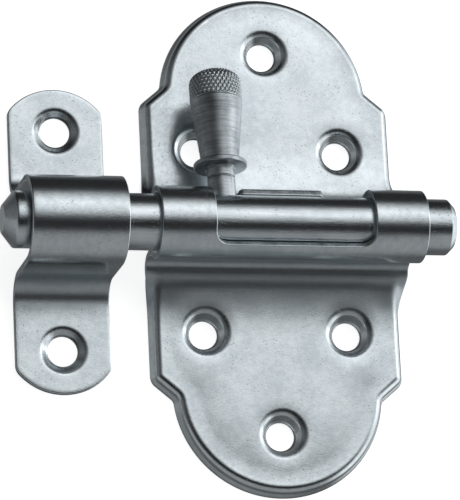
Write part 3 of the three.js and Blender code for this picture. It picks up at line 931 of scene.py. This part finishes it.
def sheared_edge(finish, name):
    """Cut edge of the sheet: darker, with a torn grain along its thickness."""
    r = Recipe(bpy.data.materials.new(name))
    where = r.place()
    tear = r.noise(where, 0.35 * MM, 3.0, 0.7)
    cloud = r.noise(where, 3 * MM)
    tone = r.mixed(r.between(tear * 0.6 + cloud * 0.4, 0.35, 0.65), finish.zinc_dark, finish.zinc_pit)
    return r.metal(tone, (0.42 + tear * 0.2).within(), r.bumps((tear, 0.05 * MM)))


def drawn_bar(finish, name):
    """Drawn bar: long faint streaks along the bar, small pits and scuffs."""
    r = Recipe(bpy.data.materials.new(name))
    streak = r.noise(r.place(scale=(STRETCH, 1, 1)), 0.6 * MM, 3.0, 0.6)
    where = r.place(move=(0.3, 0.1, 0.2))
    cloud = r.noise(where, 8 * MM, 4.0, 0.6)
    grain = r.noise(where, 0.4 * MM, 2.0, 0.6)
    pits = 1 - r.between(r.cells(where, 0.8 * MM), 0.07, 0.22)
    pits = pits * r.between(r.noise(where, 4 * MM), 0.48, 0.6)
    tone = r.mixed(r.between(cloud * 0.6 + streak * 0.4, 0.36, 0.66), finish.zinc_light, finish.zinc_dark)
    tone, _ = pitted(r, finish, tone, pits)
    rough = (finish.bolt_gloss - 0.08) + cloud * 0.1 + grain * 0.12
    normal = r.bumps((r.noise(where, 6 * MM), 0.04 * MM), (streak, 0.006 * MM), (grain, 0.03 * MM),
                     (1 - pits, 0.03 * MM))
    return r.metal(tone, rough.within(), normal)


def turned_steel(finish, name, tilt, plain_to):
    """Turned steel: fine rings across the knob's own axis up to plain_to, and painted shade that darkens the
    hollows, such as the grooves beyond it.
    """
    r = Recipe(bpy.data.materials.new(name))
    centre = Matrix.Rotation(-tilt, 3, "X") @ Vector((0, 0, BOLT_HEIGHT))
    on_knob = r.place(move=tuple(-centre), turn=(-tilt, 0, 0))
    along = r.node("ShaderNodeSeparateXYZ", {}, {0: on_knob})[1]
    plain = 1 - r.between(along, plain_to - 0.3 * MM, plain_to + 0.3 * MM)
    thin = r.node("ShaderNodeMapping", {}, {"Vector": on_knob, "Scale": (STRETCH, 1, STRETCH)})[0]
    rings = r.noise(thin, 0.3 * MM, 4.0, 0.75)
    grain = r.noise(on_knob, 0.3 * MM, 2.0, 0.6)
    cloud = r.noise(on_knob, 5 * MM, 3.0, 0.6)
    ridges = r.pointiness()
    worn = r.between(ridges, 0.52, 0.60)
    # Painted shade: hollows found by pointiness, such as the knurl's grooves, are darkened towards the tool
    # mark colour.
    deep = 1 - r.between(ridges, 0.40, 0.50)
    dark = (1 - r.between(rings * 0.6 + cloud * 0.4, 0.38, 0.60)) * plain
    tone = r.mixed((dark * 0.8 + deep * 0.9).within(), finish.turned_light, finish.turned_dark)
    tone = r.mixed(worn * 0.6, tone, finish.worn)
    rough = (finish.knob_gloss - 0.12) + rings * 0.14 + cloud * 0.1
    return r.metal(tone, rough.within(), r.bumps((rings * plain, 0.05 * MM), (grain, 0.012 * MM)))


def finish_piece(piece, body, nodes, slot, *materials):
    for material in materials:
        piece.data.materials.append(material)
    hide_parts(*nodes)
    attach(piece, body)


# ---------------------------------------------------------------- operators

# Brightness of the surroundings by a direction's turn about the bolt in degrees: 0 is straight up, + is
# towards +Y.
SOFTBOX = ((-14, 0), (-4, 0.08), (4, 0.42), (15, 0.72), (29, 1.0), (40, 0.84), (51, 0.5), (62, 0.14),
           (70, 0.01))
CARDS = ((-170, 0.12), (-125, 0.12), (-104, 0.32), (-80, 0.36), (-53, 0.33), (-44, 0.20), (-36, 0.02),
         (0, 0.01), (110, 0.01), (150, 0.25))
# The same by a direction's X, from 0 for -X to 1 for +X: the softbox is dimmer towards -X, and a card stands
# at each end.
SOFTBOX_ALONG = ((0.02, 0.03), (0.25, 0.06), (0.42, 0.3), (0.56, 1.0), (0.95, 1.0))
END_CARDS = ((0.05, 0.14), (0.16, 0.04), (0.25, 0.0), (0.82, 0.0), (0.92, 1.0))
FLOOR_GLOW = 0.82
FLOOR_HALF = 3.0

class LATCH_OT_plate(bpy.types.Operator):
    """Make the pressed plate with its sleeve"""

    bl_idname = "latch.plate"
    bl_label = "Plate"

    def execute(self, context):
        scene = context.scene
        # The plate's zinc takes the painted shade below the sleeve at full strength (1.0).
        finish_piece(build_plate(scene.latch_plate), "plate", ["base_plate"], "plate_steel",
                     zinc_sheet(scene.latch_finish, "Plate zinc", (0.4, 0.2, 0.1), 1.0),
                     sheared_edge(scene.latch_finish, "Plate cut edge"))
        return {"FINISHED"}


class LATCH_OT_keeper(bpy.types.Operator):
    """Make the keeper"""

    bl_idname = "latch.keeper"
    bl_label = "Keeper"

    def execute(self, context):
        scene = context.scene
        # The keeper's zinc takes the painted shade in its bend at 0.8 of full strength.
        finish_piece(build_keeper(scene.latch_keeper), "keeper", ["keeper"], "keeper_steel",
                     zinc_sheet(scene.latch_finish, "Keeper zinc", (0.1, 0.7, 0.3), 0.8),
                     sheared_edge(scene.latch_finish, "Keeper cut edge"))
        return {"FINISHED"}


class LATCH_OT_bolt(bpy.types.Operator):
    """Make the round bolt and its nose"""

    bl_idname = "latch.bolt"
    bl_label = "Bolt"

    def execute(self, context):
        scene = context.scene
        steel = drawn_bar(scene.latch_finish, "Bolt zinc")
        finish_piece(build_bar(scene.latch_bolt), "bolt", ["bolt_bar"], "bolt_steel", steel)
        finish_piece(build_nose(scene.latch_bolt), "slider", ["bolt_nose"], "bolt_steel", steel)
        return {"FINISHED"}


class LATCH_OT_knob(bpy.types.Operator):
    """Make the knob: its stem and its knurled grip"""

    bl_idname = "latch.knob"
    bl_label = "Knob"

    def execute(self, context):
        scene = context.scene
        sizes = scene.latch_bolt
        finish_piece(build_stud(sizes), "bolt", ["knob_stud"], "knob_steel",
                     turned_steel(scene.latch_finish, "Stem steel", sizes.tilt, sizes.top))
        finish_piece(build_grip(sizes), "bolt", ["knob_grip"], "knob_steel",
                     turned_steel(scene.latch_finish, "Grip steel", sizes.tilt, sizes.cone_end))
        return {"FINISHED"}


class LATCH_OT_stage(bpy.types.Operator):
    """Set the floor, the lights and the camera"""

    bl_idname = "latch.stage"
    bl_label = "Stage"

    def execute(self, context):
        scene = context.scene
        studio = scene.latch_studio

        r = Recipe(bpy.data.materials.new("Floor"))
        shade = r.node("ShaderNodeBsdfDiffuse", {}, {"Color": tuple(studio.floor) + (1,)})[0]
        glow = r.node("ShaderNodeEmission", {}, {"Color": (1, 1, 1, 1), "Strength": FLOOR_GLOW})[0]
        both = r.node("ShaderNodeAddShader", {}, {0: shade, 1: glow})[0]
        r.node("ShaderNodeOutputMaterial", {}, {"Surface": both})
        corners = np.array([[-1, -1, 0], [1, -1, 0], [1, 1, 0], [-1, 1, 0]]) * FLOOR_HALF
        floor = add_mesh("floor", corners, [np.array([[0, 1, 2, 3]])], smooth=False)
        floor.data.materials.append(r.owner)
        floor.visible_glossy = False

        world = bpy.data.worlds.new("Studio")
        r = Recipe(world)
        way = r.node("ShaderNodeSeparateXYZ", {}, {0: r.node("ShaderNodeTexCoord", {}, {})[0]})
        about = r.maths("ARCTAN2", way[1], way[2]) * (1 / (2 * math.pi)) + 0.5
        softbox, cards = (r.ramp(about, *((0.5 + angle / 360, b) for angle, b in stops))
                          for stops in (SOFTBOX, CARDS))
        along, ends = (r.ramp(way[0] * 0.5 + 0.5, *stops) for stops in (SOFTBOX_ALONG, END_CARDS))
        light = softbox * studio.key * along + cards + ends
        shade = r.node("ShaderNodeBackground", {}, {"Color": (0.955, 0.985, 1.0, 1), "Strength": light})[0]
        r.node("ShaderNodeOutputWorld", {}, {0: shade})
        scene.world = world
        scene.view_settings.view_transform = "Standard"

        turn = (Matrix.Rotation(studio.roll, 3, "Z") @ Matrix.Rotation(studio.rise, 3, "X")
                @ Matrix.Rotation(studio.turn, 3, "Y")).transposed()
        camera = bpy.data.objects.new("camera", bpy.data.cameras.new("camera"))
        scene.collection.objects.link(camera)
        camera.data.sensor_width = 36
        camera.data.lens = studio.lens
        camera.data.clip_start = 0.01
        camera.matrix_world = Matrix.Translation(
            Vector(studio.aim) + turn @ Vector((0, 0, studio.distance))) @ turn.to_4x4()
        scene.camera = camera
        return {"FINISHED"}


class LATCH_PT_panel(bpy.types.Panel):
    """Lists the pieces in the sidebar"""

    bl_idname = "LATCH_PT_panel"
    bl_label = "Toggle Bolt Latch"
    bl_space_type = "VIEW_3D"
    bl_region_type = "UI"
    bl_category = "Latch"

    def draw(self, context):
        column = self.layout.column(align=True)
        for operator in OPERATORS:
            column.operator(operator.bl_idname)
        for group in GROUPS:
            sizes = getattr(context.scene, group)
            for name in type(sizes).__annotations__:
                self.layout.prop(sizes, name)


GROUPS = {
    "latch_plate": LatchPlateSizes,
    "latch_keeper": LatchKeeperSizes,
    "latch_bolt": LatchBoltSizes,
    "latch_finish": LatchFinish,
    "latch_studio": LatchStudio,
}
OPERATORS = (LATCH_OT_stage, LATCH_OT_plate, LATCH_OT_keeper, LATCH_OT_bolt, LATCH_OT_knob)


def register():
    for cls in (*GROUPS.values(), *OPERATORS, LATCH_PT_panel):
        bpy.utils.register_class(cls)
    for name, group in GROUPS.items():
        setattr(bpy.types.Scene, name,
                PointerProperty(type=group, name=group.__name__, description=group.__doc__))


def unregister():
    for name in GROUPS:
        delattr(bpy.types.Scene, name)
    for cls in (LATCH_PT_panel, *reversed(OPERATORS), *reversed(tuple(GROUPS.values()))):
        bpy.utils.unregister_class(cls)


def main():
    register()
    bpy.ops.latch.stage()
    bpy.ops.latch.plate()
    bpy.ops.latch.keeper()
    bpy.ops.latch.bolt()
    bpy.ops.latch.knob()


if __name__ == "__main__":
    main()
